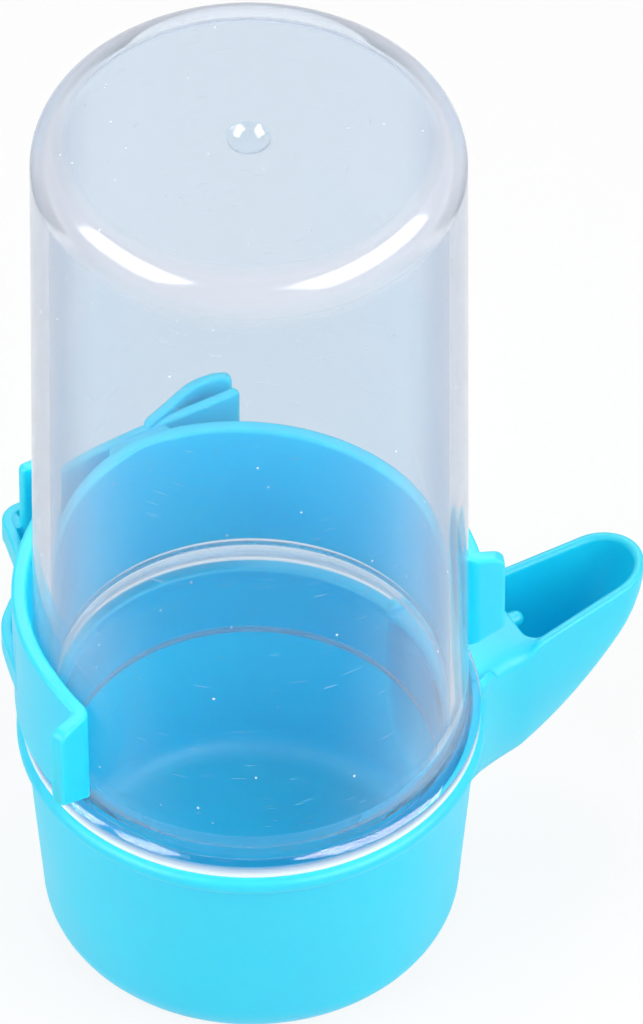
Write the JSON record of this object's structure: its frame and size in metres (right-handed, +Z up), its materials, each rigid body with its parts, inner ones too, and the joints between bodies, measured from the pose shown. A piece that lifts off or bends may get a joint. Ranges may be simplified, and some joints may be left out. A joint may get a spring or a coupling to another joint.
{
  "type": "bird water drinker",
  "caption": "Hang-on cage drinker: a clear bottle standing mouth-down in a round cup with a trough spout, with a C-shaped clip that hooks onto cage wires.",
  "frame": {"origin": "centre of the cup's flat bottom", "axes": "+Z up along the bottle, +X along the drinking spout, +Y towards the cage that the clip hooks onto"},
  "size_m": [0.0939, 0.0699, 0.141],
  "materials": {
    "clear_plastic": "clear moulded plastic with fine scratches",
    "cup_plastic": "satin moulded plastic",
    "clip_plastic": "satin moulded plastic"
  },
  "bodies": {
    "cup": {"drinking_cup": "cup_plastic"},
    "bottle": {"reservoir_bottle": "clear_plastic"},
    "clip": {"cage_clip": "clip_plastic"}
  },
  "joints": [
    {"name": "bottle_lift", "type": "slide", "parent": "cup", "child": "bottle", "axis": [0, 0, 1], "range_m": [0, 0.03]},
    {"name": "clip_swivel", "type": "hinge", "parent": "bottle", "child": "clip", "pos_m": [0, 0, 0.048], "axis": [0, 0, 1], "continuous": true}
  ]
}
